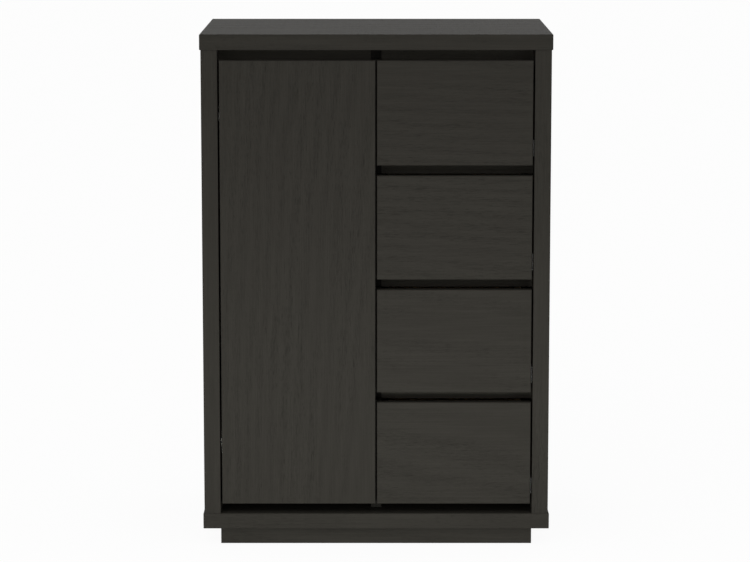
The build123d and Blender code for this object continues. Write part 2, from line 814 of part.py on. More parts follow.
# ----------------------------------------------------------------- write it all
save("top_board", case_board(opening_top))
save("bottom_board", case_board(plinth_height))
save("left_side", side_panel(-1))
save("right_side", side_panel(1))
save("centre_divider", divider())
save("back_panel", back_panel())
save("door_top_rail", top_rail(-side_inner, -divider_half))
save("drawer_top_rail", top_rail(divider_half, side_inner))
save("drawer_rails", *[gap_rail(number) for number in range(2, drawer_count + 1)])
plinth_rails()
save("plinth_blocks", *plinth_blocks())
for number, name in enumerate(("upper_shelf", "lower_shelf")[:shelf_count], start=1):
    save(name, shelf(number))
save("shelf_pins", *shelf_pins())
save("carcass_dowels", *[dowel(*joint) for joint in dowel_joints()])
save("screws", *all_screws())
save("door_bumpers", *door_bumpers())

save("door_panel", door_panel())
save("hinge_cups", *at_hinges(hinge_cup()))
save("hinge_inner_links", *at_hinges(inner_link()))
save("hinge_outer_links", *at_hinges(outer_link()))
save("hinge_arms", *at_hinges(hinge_arm()))
save("hinge_plates", *[drilled(plate) for plate in at_hinges(hinge_plate())])

numbers = range(1, drawer_count + 1)
case_rail = cabinet_rail()
save("cabinet_runners", *[rail for number in numbers for rail in left_and_right(case_rail, number)])
for number in numbers:
    drawer(number)
    save(f"drawer_{number}_runners", *left_and_right(box_rail(), number))
    save(f"drawer_{number}_front_rollers", *left_and_right(roller(front_roller_y), number))
    save(f"drawer_{number}_rear_rollers", *left_and_right(roller(rear_roller_y), number))
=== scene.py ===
"""Finishes, fastenings and studio for a storage cabinet with a door and four drawers."""

import math

import bpy
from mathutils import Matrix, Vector


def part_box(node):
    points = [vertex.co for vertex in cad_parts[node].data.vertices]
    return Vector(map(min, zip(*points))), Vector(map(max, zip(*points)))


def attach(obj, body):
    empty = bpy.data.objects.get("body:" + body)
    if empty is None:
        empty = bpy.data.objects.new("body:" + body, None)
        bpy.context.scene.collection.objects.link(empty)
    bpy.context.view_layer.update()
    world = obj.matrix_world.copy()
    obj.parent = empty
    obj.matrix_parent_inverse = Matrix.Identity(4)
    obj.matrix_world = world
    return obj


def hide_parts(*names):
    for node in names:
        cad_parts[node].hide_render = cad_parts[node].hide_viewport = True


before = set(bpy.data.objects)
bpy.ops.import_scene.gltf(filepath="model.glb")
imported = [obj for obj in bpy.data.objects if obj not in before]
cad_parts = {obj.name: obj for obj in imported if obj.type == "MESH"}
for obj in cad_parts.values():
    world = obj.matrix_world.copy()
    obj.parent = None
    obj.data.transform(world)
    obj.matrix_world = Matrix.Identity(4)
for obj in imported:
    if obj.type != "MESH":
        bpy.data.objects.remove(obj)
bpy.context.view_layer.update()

bl_info = {
    "name": "Storage cabinet",
    "version": (1, 0, 0),
    "blender": (4, 5, 0),
    "location": "3D View > Sidebar > Cabinet",
    "description": "Finishes, screw heads and studio for a cabinet with a door and four drawers",
    "category": "Object",
}

MM = 0.001
DRAWERS = (1, 2, 3, 4)
SHARP = math.radians(35)  # edges that turn by more stay crisp
STUDIO_WHITE = (1.0, 1.0, 1.0, 1.0)

# Boards whose grain runs up, across and from front to back.
UPRIGHT = ("left_side", "right_side", "centre_divider", "door_panel")
ACROSS = ("top_board", "bottom_board", "plinth_front", "plinth_back", "upper_shelf", "lower_shelf")
ACROSS += ("door_top_rail", "drawer_top_rail") + tuple(f"drawer_{n}_front" for n in DRAWERS)
INWARD = ("plinth_left", "plinth_right")

# Turn of a board's pattern, by the way its grain runs.
TURNS = {"X": (0.0, 0.0, 0.0), "Y": (0.0, 0.0, -math.pi / 2), "Z": (0.0, math.pi / 2, 0.0)}

# Pale woods: darker tone, lighter tone, pitch of the rings, roughness and specular level.
MAPLE_FOIL = ((0.46, 0.345, 0.225), (0.60, 0.475, 0.335), 0.016, 0.42, 0.35)
PLYWOOD = ((0.50, 0.375, 0.235), (0.66, 0.53, 0.37), 0.034, 0.52, 0.35)
BLOCK_WOOD = ((0.42, 0.30, 0.18), (0.58, 0.44, 0.29), 0.009, 0.6, 0.2)
DOWEL_BEECH = ((0.42, 0.28, 0.17), (0.54, 0.39, 0.25), 0.004, 0.6, 0.2)

# Screws of the runners, from the runners' front end, their foot and the walls.
CASE_SCREW_STEPS = (37.0 * MM, 165.0 * MM, 293.0 * MM)
BOX_SCREW_STEPS = (40.0 * MM, 175.0 * MM, 310.0 * MM)
CASE_SCREW_HEIGHT = 14.0 * MM
BOX_SCREW_HEIGHT = 19.9 * MM
RUNNER_SHEET = 1.2 * MM
RUNNER_WEB = 11.5 * MM  # from the wall to the drawer rail's upright web
SEAT_DROP = 1.8 * MM  # from the drawer rail's underside to the case rail's

# Screws of the hinges, from the case's wall, the door's front face and the hinge's middle.
HINGE_REACH = 24.0 * MM  # from a plate's end to the hinge's middle
ARM_FACE = 10.7 * MM
ARM_SCREW_DEPTHS = (58.0 * MM, 84.0 * MM)
WING_FACE = 2.2 * MM
WING_SCREW_DEPTH = 58.0 * MM
WING_SCREW_OFFSET = 16.0 * MM
CUP_SCREW_REACH = 35.0 * MM
CUP_SCREW_OFFSET = 24.0 * MM


# ------------------------------------------------------------------- settings
class CabinetFoil(bpy.types.PropertyGroup):
    """Colours and sizes of the dark oak foil."""

    ground: bpy.props.FloatVectorProperty(
        name="Ground colour", description="Main tone of the foil", subtype="COLOR",
        size=3, min=0.0, max=1.0, default=(0.0202, 0.0185, 0.0151))
    fleck: bpy.props.FloatVectorProperty(
        name="Streak colour", description="Paler streaks that run with the grain", subtype="COLOR",
        size=3, min=0.0, max=1.0, default=(0.0276, 0.0254, 0.0210))
    pore: bpy.props.FloatVectorProperty(
        name="Pore colour", description="Short dark pores of the oak print", subtype="COLOR",
        size=3, min=0.0, max=1.0, default=(0.0116, 0.0106, 0.0087))
    worn: bpy.props.FloatVectorProperty(
        name="Edge colour", description="Edges rubbed a little paler", subtype="COLOR",
        size=3, min=0.0, max=1.0, default=(0.0340, 0.0298, 0.0255))
    # Painted light: the rails seen through the gaps get the foil's tones made paler, so the shaded
    # gaps read lighter.
    rail_painted_light: bpy.props.FloatProperty(
        name="Rail painted light",
        description="How much paler the rails behind the gaps are", min=0.1, default=2.4)
    # Painted shade: the divider's foil is made darker, so its lamp-lit part in the bottom gap reads
    # as shaded.
    divider_painted_shade: bpy.props.FloatProperty(
        name="Divider painted shade",
        description="Tone of the divider against the other boards", min=0.1, default=0.5)
    roughness: bpy.props.FloatProperty(
        name="Roughness", description="Satin level of the foil", subtype="FACTOR",
        min=0.0, max=1.0, default=0.64)
    gloss: bpy.props.FloatProperty(
        name="Specular level", description="How much the foil reflects when seen square on",
        subtype="FACTOR", min=0.0, max=1.0, default=0.1)
    ring_pitch: bpy.props.FloatProperty(
        name="Ring pitch", description="Distance between the broad lines of the figure",
        subtype="DISTANCE", unit="LENGTH", min=0.001, default=0.011)
    pore_depth: bpy.props.FloatProperty(
        name="Pore depth", description="Depth of the embossed pores", subtype="DISTANCE",
        unit="LENGTH", min=0.0, default=0.00012)
    band: bpy.props.FloatProperty(
        name="Edge band", description="Thickness of the strip glued to a board's edges",
        subtype="DISTANCE", unit="LENGTH", min=0.0, default=0.001)


class CabinetScrews(bpy.types.PropertyGroup):
    """Sizes of the screw heads on the runners and hinges."""

    radius: bpy.props.FloatProperty(
        name="Head radius", description="Radius of a runner screw's head", subtype="DISTANCE",
        unit="LENGTH", min=0.001, default=0.0028)
    hinge_radius: bpy.props.FloatProperty(
        name="Hinge head radius", description="Radius of a hinge screw's head", subtype="DISTANCE",
        unit="LENGTH", min=0.001, default=0.0034)
    height: bpy.props.FloatProperty(
        name="Head height", description="How far a head stands out", subtype="DISTANCE",
        unit="LENGTH", min=0.0001, default=0.0006)
    sides: bpy.props.IntProperty(
        name="Sides", description="Sides of a head seen from above", min=8, max=64, default=24)


class CabinetRollers(bpy.types.PropertyGroup):
    """Sizes of the runners' rollers."""

    bore: bpy.props.FloatProperty(
        name="Bore radius", description="Radius of the hole for the rivet", subtype="DISTANCE",
        unit="LENGTH", min=0.0005, default=0.00212)
    width: bpy.props.FloatProperty(
        name="Width", description="Width of a roller along its axis", subtype="DISTANCE",
        unit="LENGTH", min=0.001, default=0.006)
    wall: bpy.props.FloatProperty(
        name="Wall", description="Thickness of the rim and of the hub", subtype="DISTANCE",
        unit="LENGTH", min=0.0005, default=0.0018)
    corner: bpy.props.FloatProperty(
        name="Corner radius", description="Rounding of the rim and of the dished sides",
        subtype="DISTANCE", unit="LENGTH", min=0.0001, default=0.0005)
    sides: bpy.props.IntProperty(
        name="Sides",
        description="Sides of a roller seen along its axis", min=12, max=96, default=48)


class CabinetStudio(bpy.types.PropertyGroup):
    """Camera and light."""

    distance: bpy.props.FloatProperty(
        name="Camera distance", description="From the cabinet's front to the camera",
        subtype="DISTANCE", unit="LENGTH", min=0.5, default=4.775)
    height: bpy.props.FloatProperty(
        name="Camera height", description="Camera above the floor", subtype="DISTANCE",
        unit="LENGTH", min=0.0, default=1.230)
    aside: bpy.props.FloatProperty(
        name="Camera to the left", description="Camera left of the cabinet's middle",
        subtype="DISTANCE", unit="LENGTH", default=0.002)
    tilt: bpy.props.FloatProperty(
        name="Tilt", description="How far the camera looks down", subtype="ANGLE",
        unit="ROTATION", default=math.radians(8.65))
    lens: bpy.props.FloatProperty(
        name="Focal length",
        description="In millimetres on a 36 mm sensor", min=10.0, default=135.4)
    shift: bpy.props.FloatProperty(
        name="Shift",
        description="Upward shift of the frame as a share of its width", default=-0.03)
    room: bpy.props.FloatProperty(
        name="Room light",
        description="Brightness of the even light from all round", min=0.0, default=0.75)
    key: bpy.props.FloatProperty(
        name="Key light", description="Power of the large lamp above the camera", subtype="POWER",
        unit="POWER", min=0.0, default=35.0)
    low: bpy.props.FloatProperty(
        name="Low light", description="Power of the strip that lights the lower half",
        subtype="POWER", unit="POWER", min=0.0, default=5.0)
    floor_whiteness: bpy.props.FloatProperty(
        name="Floor whiteness",
        description="Share of plain white in what the camera sees of the floor",
        subtype="FACTOR", min=0.0, max=1.0, default=0.94)


# ------------------------------------------------------------ nodes by writing
class Wire:
    """An output socket; arithmetic on it adds Math nodes."""

    def __init__(self, wiring, socket):
        self.wiring, self.socket = wiring, socket

    def _math(self, operation, *values):
        return self.wiring.node("ShaderNodeMath", {"operation": operation}, dict(enumerate(values)))

    def __add__(self, other):
        return self._math("ADD", self, other)

    def __sub__(self, other):
        return self._math("SUBTRACT", self, other)

    def __rsub__(self, other):
        return self._math("SUBTRACT", other, self)

    def __mul__(self, other):
        return self._math("MULTIPLY", self, other)

    def __truediv__(self, other):
        return self._math("DIVIDE", self, other)

    def __rtruediv__(self, other):
        return self._math("DIVIDE", other, self)

    def __abs__(self):
        return self._math("ABSOLUTE", self)

    def least(self, other):
        return self._math("MINIMUM", self, other)

    def most(self, other):
        return self._math("MAXIMUM", self, other)

    def sine(self):
        return self._math("SINE", self)

    __radd__ = __add__
    __rmul__ = __mul__


class Wiring:
    """A node tree that is filled one node at a time."""

    def __init__(self, tree):
        self.tree = tree
        tree.nodes.clear()

    def node(self, kind, settings=None, sockets=None, output=0):
        """Add a node: its settings first, then a value or a link for each socket."""
        made = self.tree.nodes.new(kind)
        for key, value in (settings or {}).items():
            setattr(made, key, value)
        for key, value in (sockets or {}).items():
            for part in value if isinstance(value, list) else [value]:
                if isinstance(part, Wire):
                    self.tree.links.new(part.socket, made.inputs[key])
                else:
                    made.inputs[key].default_value = part
        return Wire(self, made.outputs[output]) if made.outputs else made

    def scaled(self, vector, factors):
        """A vector times a factor for each axis."""
        return self.node("ShaderNodeVectorMath", {"operation": "MULTIPLY"}, {0: vector, 1: factors})

    def noise(self, vector, detail=2.0, roughness=0.5):
        """Soft noise from 0 to 1; the vector's scale sets its cycles to a metre."""
        sockets = {"Vector": vector, "Scale": 1.0, "Detail": detail, "Roughness": roughness}
        return self.node("ShaderNodeTexNoise", None, sockets)

    def ease(self, value, low, high):
        """0 below low and 1 above high, smooth between; low may be the larger."""
        sockets = {"Value": value, "From Min": low, "From Max": high}
        return self.node("ShaderNodeMapRange", {"interpolation_type": "SMOOTHSTEP"}, sockets)

    def mixed(self, factor, first, second):
        """First colour where the factor is 0, second where it is 1."""
        sockets = {"Factor": factor, 6: opaque(first), 7: opaque(second)}  # the colours A and B
        return self.node("ShaderNodeMix", {"data_type": "RGBA"}, sockets, output=2)


def opaque(colour):
    """A colour with full alpha; a link is passed on."""
    return colour if isinstance(colour, Wire) else (*colour[:3], 1.0)


class Finish(Wiring):
    """A material with one Principled shader."""

    def __init__(self, name):
        self.material = bpy.data.materials.new(name)
        self.material.use_nodes = True
        super().__init__(self.material.node_tree)

    def surface(self, colour, roughness, height, depth, **steady):
        """End the tree; height is a 0 to 1 relief of that depth, steady are plain values."""
        sockets = {"Base Color": opaque(colour), "Roughness": roughness}
        sockets.update({key.replace("_", " "): value for key, value in steady.items()})
        bump = {"Strength": 1.0, "Distance": depth, "Height": height}
        sockets["Normal"] = self.node("ShaderNodeBump", None, bump)
        shader = self.node("ShaderNodeBsdfPrincipled", None, sockets)
        self.node("ShaderNodeOutputMaterial", None, {"Surface": shader})
        return self.material


def grain_place(finish, along, shift):
    """Object coordinates turned so that X runs with the grain."""
    place = finish.node("ShaderNodeTexCoord", output="Object")
    sockets = {"Vector": place, "Location": shift, "Rotation": TURNS[along]}
    return finish.node("ShaderNodeMapping", None, sockets)


def edge_distance(finish, low, high):
    """Distance of a surface point from the nearest edge of a board's box."""
    middle, half = (low + high) / 2, (high - low) / 2
    place = finish.node("ShaderNodeTexCoord", output="Object")
    offset = finish.node("ShaderNodeVectorMath", {"operation": "SUBTRACT"}, {0: place, 1: middle})
    offset = finish.node("ShaderNodeVectorMath", {"operation": "ABSOLUTE"}, {0: offset})
    room = finish.node("ShaderNodeVectorMath", {"operation": "SUBTRACT"}, {0: half, 1: offset})
    parts = [finish.node("ShaderNodeSeparateXYZ", None, {0: room}, output=n) for n in range(3)]
    smaller, larger = parts[0].least(parts[1]), parts[0].most(parts[1])
    return smaller.most(larger.least(parts[2]))


def oak_foil(name, along, shift, foil, box=None, light_and_shade_factor=1.0):
    """Dark oak foil with its grain along an axis; box is the board's, for its edges. A factor above
    1 makes all tones paler as painted light, one below 1 darker as painted shade.
    """
    finish = Finish(name)
    tones = (foil.ground, foil.fleck, foil.pore)
    # Tones scaled: paler is painted light on the rails, darker is painted shade on the divider.
    ground, fleck, pore = ([part * light_and_shade_factor for part in tone] for tone in tones)
    place = grain_place(finish, along, shift)

    drift = finish.noise(finish.scaled(place, (1.6, 11.0, 11.0)), 3.0, 0.55)
    bend = finish.noise(finish.scaled(place, (3.5, 16.0, 16.0)), 2.0)
    fibre = finish.noise(finish.scaled(place, (9.0, 520.0, 520.0)), 4.0, 0.65)
    hair = finish.noise(finish.scaled(place, (26.0, 1500.0, 1500.0)), 2.0, 0.6)
    dash = finish.noise(finish.scaled(place, (75.0, 2300.0, 2300.0)), 1.0)

    flat = finish.scaled(place, (0.055, 1.0, 0.6))
    reach = finish.node("ShaderNodeVectorMath", {"operation": "LENGTH"}, {0: flat}, output="Value")
    phase = (reach + bend * 0.014) * (math.tau / foil.ring_pitch)
    ring = phase.sine() * 0.5 + 0.5

    streak = finish.ease(fibre * 0.74 + drift * 0.2 + ring * 0.06, 0.32, 0.74)
    pores = finish.ease(dash - ring * 0.07, 0.545, 0.66) * finish.ease(drift, 0.3, 0.6)
    colour = finish.mixed(streak * 0.8, ground, fleck)
    colour = finish.mixed(pores * 0.75, colour, pore)
    colour = finish.mixed(finish.ease(hair, 0.58, 0.8) * 0.25, colour, pore)
    roughness = pores * 0.12 - streak * 0.04 + finish.ease(hair, 0.3, 0.7) * 0.05 + foil.roughness
    height = streak * 0.2 + hair * 0.15 - pores * 0.65 + 0.65

    if box is not None:
        edge = edge_distance(finish, *box)
        patchy = finish.noise(finish.scaled(place, (60.0, 90.0, 90.0)), 3.0, 0.7)
        rub = finish.ease(edge + patchy * 0.0016, 0.0019, 0.0006)
        line = finish.ease(abs(edge - foil.band), 0.00022, 0.00006)
        colour = finish.mixed(line * 0.4, colour, foil.pore)
        colour = finish.mixed(rub * 0.55, colour, foil.worn)
        roughness = roughness - rub * 0.07
        height = height - line * 0.25
    return finish.surface(
        colour, roughness, height, foil.pore_depth, Specular_IOR_Level=foil.gloss)


def pale_wood(name, along, shift, wood):
    """Pale board or plywood with a soft figure; wood is one of the pale woods above."""
    dark, light, pitch, roughness, gloss = wood
    finish = Finish(name)
    place = grain_place(finish, along, shift)
    bend = finish.noise(finish.scaled(place, (2.2, 12.0, 12.0)), 3.0, 0.6)
    fibre = finish.noise(finish.scaled(place, (14.0, 620.0, 620.0)), 4.0, 0.6)
    dash = finish.noise(finish.scaled(place, (110.0, 1900.0, 1900.0)), 1.0)
    flat = finish.scaled(place, (0.05, 1.0, 0.5))
    reach = finish.node("ShaderNodeVectorMath", {"operation": "LENGTH"}, {0: flat}, output="Value")
    ring = ((reach + bend * 0.07) * (math.tau / pitch)).sine() * 0.5 + 0.5
    tone = finish.ease(fibre * 0.45 + ring * 0.3 + bend * 0.25, 0.25, 0.75)
    flecks = finish.ease(dash, 0.6, 0.7)
    colour = finish.mixed(tone, dark, light)
    colour = finish.mixed(flecks * 0.35, colour, [part * 0.45 for part in dark])
    height = tone * 0.4 - flecks * 0.6 + 0.6
    satin = fibre * 0.16 + flecks * 0.1 + (roughness - 0.08)
    return finish.surface(colour, satin, height, 0.00006, Specular_IOR_Level=gloss)


def hardboard(name):
    """Back panel: foil-dark inside, bare pressed fibre with a screen mark outside."""
    finish = Finish(name)
    screen_pitch = 0.0021
    place = finish.node("ShaderNodeTexCoord", output="Object")
    facing = finish.node("ShaderNodeNewGeometry", output="Normal")
    outward = finish.node("ShaderNodeSeparateXYZ", None, {0: facing}, output="Y")
    outward = finish.ease(outward, 0.2, 0.6)
    cloud = finish.noise(finish.scaled(place, (14.0, 14.0, 14.0)), 4.0, 0.6)
    fibre = finish.noise(finish.scaled(place, (420.0, 420.0, 150.0)), 5.0, 0.75)
    cells = {"Vector": finish.scaled(place, (700.0,) * 3), "Scale": 1.0}
    speck = finish.node("ShaderNodeTexVoronoi", None, cells)
    across, up = (
        finish.node("ShaderNodeSeparateXYZ", None, {0: place}, output=axis) for axis in ("X", "Z"))
    screen = (across * (math.tau / screen_pitch)).sine() * (up * (math.tau / screen_pitch)).sine()
    tone = finish.ease(fibre * 0.6 + cloud * 0.4, 0.3, 0.7)
    bare = finish.mixed(tone, (0.030, 0.0225, 0.0165), (0.060, 0.0455, 0.0335))
    bare = finish.mixed(finish.ease(speck, 0.35, 0.1) * 0.35, bare, (0.085, 0.066, 0.048))
    lined = finish.mixed(tone, (0.019, 0.0165, 0.0145), (0.030, 0.0262, 0.0230))
    colour = finish.mixed(outward, lined, bare)
    height = fibre * 0.6 + screen * outward * 0.2 + 0.2
    roughness = outward * 0.22 + fibre * 0.12 + 0.48
    return finish.surface(colour, roughness, height, 0.00014, Specular_IOR_Level=0.3)


def painted_steel(name):
    """Grey stove enamel on roll-formed steel, rubbed along the rollers' way."""
    finish = Finish(name)
    place = finish.node("ShaderNodeTexCoord", output="Object")
    peel = finish.noise(finish.scaled(place, (900.0,) * 3), 2.0)
    cloud = finish.noise(finish.scaled(place, (25.0,) * 3), 3.0)
    track = finish.noise(finish.scaled(place, (900.0, 7.0, 900.0)), 3.0, 0.7)
    rubbed = finish.ease(track, 0.6, 0.74)
    colour = finish.mixed(cloud, (0.27, 0.27, 0.262), (0.33, 0.33, 0.32))
    colour = finish.mixed(rubbed * 0.4, colour, (0.20, 0.20, 0.20))
    roughness = cloud * 0.1 + rubbed * 0.12 + 0.3
    return finish.surface(colour, roughness, peel, 0.00003)


def bare_metal(name, dark, light, roughness, patch, brushed):
    """Plated steel: cells of plating, patch to a metre, over a brushed grain."""
    finish = Finish(name)
    place = finish.node("ShaderNodeTexCoord", output="Object")
    fine = finish.noise(finish.scaled(place, brushed), 3.0, 0.65)
    sockets = {"Vector": finish.scaled(place, (patch,) * 3), "Scale": 1.0}
    cells = finish.node("ShaderNodeTexVoronoi", {"feature": "SMOOTH_F1"}, sockets)
    cloud = finish.noise(finish.scaled(place, (160.0,) * 3), 3.0, 0.6)
    tone = finish.ease(fine * 0.4 + cells * 0.35 + cloud * 0.25, 0.25, 0.7)
    colour = finish.mixed(tone, dark, light)
    satin = fine * 0.14 + cloud * 0.1 + (roughness - 0.1)
    return finish.surface(colour, satin, fine, 0.00002, Metallic=1.0)


def moulded(name, dark, light, roughness, gloss, subsurface=0.0):
    """Moulded plastic or rubber with a fine grain."""
    finish = Finish(name)
    place = finish.node("ShaderNodeTexCoord", output="Object")
    fine = finish.noise(finish.scaled(place, (1300.0,) * 3), 3.0, 0.6)
    cloud = finish.noise(finish.scaled(place, (120.0,) * 3), 3.0, 0.6)
    colour = finish.mixed(finish.ease(cloud * 0.7 + fine * 0.3, 0.3, 0.7), dark, light)
    return finish.surface(
        colour, fine * 0.12 + (roughness - 0.06), fine, 0.00003, Specular_IOR_Level=gloss,
        Subsurface_Weight=subsurface, Subsurface_Scale=0.002)


def dress(node, material):
    """Give a carried-over node its finish."""
    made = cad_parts[node]
    made.data.materials.clear()
    made.data.materials.append(material)


# ------------------------------------------------- screw heads and rollers
def repeat_tree(name, sizes):
    """A geometry node tree that takes points, sizes and a finish."""
    tree = bpy.data.node_groups.new(name, "GeometryNodeTree")
    inputs = {"Points": "NodeSocketGeometry", **sizes, "Finish": "NodeSocketMaterial"}
    for key, kind in inputs.items():
        tree.interface.new_socket(name=key, in_out="INPUT", socket_type=kind)
    tree.interface.new_socket(name="Pieces", in_out="OUTPUT", socket_type="NodeSocketGeometry")
    wiring = Wiring(tree)
    given = tree.nodes.new("NodeGroupInput")
    return tree, wiring, [Wire(wiring, given.outputs[key]) for key in inputs]


def put_on_points(wiring, points, piece, turn, finish):
    """End the tree: the piece on every point, its Z along the point's facing, as real mesh."""
    facing = wiring.node(
        "GeometryNodeInputNamedAttribute", {"data_type": "FLOAT_VECTOR"}, {"Name": "facing"})
    upright = wiring.node("FunctionNodeAlignRotationToVector", {"axis": "Z"}, {"Vector": facing})
    spin = wiring.node("ShaderNodeCombineXYZ", None, {"Z": turn})
    spin = wiring.node("FunctionNodeEulerToRotation", None, {"Euler": spin})
    sockets = {"Rotation": upright, "Rotate By": spin}
    rotation = wiring.node("FunctionNodeRotateRotation", {"rotation_space": "LOCAL"}, sockets)
    sockets = {"Points": points, "Instance": piece, "Rotation": rotation}
    pieces = wiring.node("GeometryNodeInstanceOnPoints", None, sockets)
    pieces = wiring.node("GeometryNodeRealizeInstances", None, {"Geometry": pieces})
    pieces = wiring.node("GeometryNodeSetMaterial", None, {"Geometry": pieces, "Material": finish})
    wiring.node("NodeGroupOutput", None, {"Pieces": pieces})


def moved(wiring, geometry, **offset):
    """Geometry moved along the axes given, such as Z=0.001."""
    shift = wiring.node("ShaderNodeCombineXYZ", None, offset)
    return wiring.node("GeometryNodeTransform", None, {"Geometry": geometry, "Translation": shift})


def screw_tree():
    """Raised screw heads with a cross recess."""
    sizes = {
        "Radius": "NodeSocketFloat", "Height": "NodeSocketFloat", "Sides": "NodeSocketInt",
        "Seed": "NodeSocketInt",
    }
    tree, wiring, inputs = repeat_tree("screw_heads", sizes)
    points, radius, height, sides, seed, finish = inputs

    # The crown is the top of a ball that passes through the head's rim.
    ball_radius = (radius * radius + height * height) / (height * 2.0)
    sockets = {"Segments": sides, "Rings": 48, "Radius": ball_radius}
    ball = wiring.node("GeometryNodeMeshUVSphere", None, sockets)
    ball = moved(wiring, ball, Z=height - ball_radius)
    sockets = {"Vertices": sides, "Radius": radius, "Depth": height * 2.0}
    blank = wiring.node("GeometryNodeMeshCylinder", None, sockets)
    both = {"Mesh 2": [ball, blank]}
    head = wiring.node("GeometryNodeMeshBoolean", {"operation": "INTERSECT"}, both)

    # Two crossed bars cut the recess.
    wide, narrow, deep = radius * 1.05, radius * 0.24, height * 1.2
    bars = []
    for across, along in ((wide, narrow), (narrow, wide)):
        size = wiring.node("ShaderNodeCombineXYZ", None, {"X": across, "Y": along, "Z": deep})
        bar = wiring.node("GeometryNodeMeshCube", None, {"Size": size})
        bars.append(moved(wiring, bar, Z=height * 0.9))
    cut = {"Mesh 1": head, "Mesh 2": bars}
    head = wiring.node("GeometryNodeMeshBoolean", {"operation": "DIFFERENCE"}, cut)
    limits = {"Seed": seed, 2: 0.0, 3: math.pi / 2}  # least and most turn
    turn = wiring.node("FunctionNodeRandomValue", {"data_type": "FLOAT"}, limits, output=1)
    put_on_points(wiring, points, head, turn, finish)
    return tree


def roller_tree():
    """Moulded rollers: a round rim and a hub, dished between them on both sides."""
    sizes = {
        "Radius": "NodeSocketFloat", "Bore": "NodeSocketFloat", "Width": "NodeSocketFloat",
        "Wall": "NodeSocketFloat", "Corner": "NodeSocketFloat", "Sides": "NodeSocketInt",
    }
    tree, wiring, inputs = repeat_tree("rollers", sizes)
    points, radius, bore, width, wall, corner, sides, finish = inputs

    def ring(inner, outer, thickness):
        """A ring with rounded corners: an outline carried round a circle."""
        sockets = {"Width": outer - inner, "Height": thickness}
        outline = wiring.node("GeometryNodeCurvePrimitiveQuadrilateral", None, sockets)
        sockets = {"Curve": outline, "Radius": corner, "Count": 4}
        outline = wiring.node("GeometryNodeFilletCurve", {"mode": "POLY"}, sockets)
        sockets = {"Resolution": sides, "Radius": (outer + inner) / 2.0}
        path = wiring.node("GeometryNodeCurvePrimitiveCircle", None, sockets)
        sockets = {"Curve": path, "Profile Curve": outline}
        return wiring.node("GeometryNodeCurveToMesh", None, sockets)

    dish = ring(bore + wall, radius - wall, width * 0.5)
    dishes = [moved(wiring, dish, Z=width * side) for side in (-0.5, 0.5)]
    cut = {"Mesh 1": ring(bore, radius, width), "Mesh 2": dishes}
    wheel = wiring.node("GeometryNodeMeshBoolean", {"operation": "DIFFERENCE"}, cut)
    put_on_points(wiring, points, wheel, 0.0, finish)
    return tree


def repeated(name, body, tree, places, values, context):
    """Pieces at (point, facing) places, as one plain mesh that rides on a body."""
    carrier = bpy.data.meshes.new(name + "_places")
    carrier.from_pydata([point for point, _ in places], [], [])
    facing = carrier.attributes.new("facing", "FLOAT_VECTOR", "POINT")
    facing.data.foreach_set("vector", [value for _, way in places for value in way])
    holder = bpy.data.objects.new(name + "_places", carrier)
    context.collection.objects.link(holder)

    modifier = holder.modifiers.new(tree.name, "NODES")
    modifier.node_group = tree
    for item in tree.interface.items_tree:
        if item.in_out == "INPUT" and item.name in values:
            modifier[item.identifier] = values[item.name]
    holder.update_tag()
    context.view_layer.update()
    solid = holder.evaluated_get(context.evaluated_depsgraph_get())
    mesh = bpy.data.meshes.new_from_object(solid)
    mesh.name = name
    mesh.shade_smooth()
    mesh.set_sharp_from_angle(angle=SHARP)
    pieces = bpy.data.objects.new(name, mesh)
    context.collection.objects.link(pieces)
    bpy.data.objects.remove(holder)
    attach(pieces, body)
    return pieces


def screw_heads(name, body, places, radius, seed, context):
    """Screw heads at (point, facing) places."""
    screws = context.scene.cabinet_screws
    tree = bpy.data.node_groups.get("screw_heads") or screw_tree()
    values = {
        "Radius": radius, "Height": screws.height, "Sides": screws.sides, "Seed": seed,
        "Finish": bpy.data.materials["screw_zinc"],
    }
    repeated(name, body, tree, places, values, context)


# ------------------------------------------------------------------ operators
class CABINET_OT_boards(bpy.types.Operator):
    """Put dark oak foil on the case, the door, the drawer fronts, the shelves and the plinth"""

    bl_idname = "cabinet.boards"
    bl_label = "Finish the boards"

    def execute(self, context):
        foil = context.scene.cabinet_foil
        # Painted light on the rails behind the gaps, painted shade on the divider; other boards
        # keep their tones.
        painted_light_and_shade = {
            "door_top_rail": foil.rail_painted_light, "drawer_top_rail": foil.rail_painted_light,
            "centre_divider": foil.divider_painted_shade,
        }
        count = 0  # gives each board another stretch of the grain
        for along, nodes in (("Z", UPRIGHT), ("X", ACROSS), ("Y", INWARD)):
            for node in nodes:
                count += 1
                shift = (0.37 * count, 0.083 * (count % 5) - 0.16, 0.11 * (count % 3))
                box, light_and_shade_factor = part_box(node), painted_light_and_shade.get(node, 1.0)
                dress(node, oak_foil("foil_" + node, along, shift, foil, box, light_and_shade_factor))
        # The drawer rails behind the gaps carry painted light: their foil is made paler.
        rails = oak_foil("foil_drawer_rails", "X", (0.2, 0.05, 0.1), foil, light_and_shade_factor=foil.rail_painted_light)
        dress("drawer_rails", rails)
        dress("back_panel", hardboard("pressed_hardboard"))
        return {"FINISHED"}


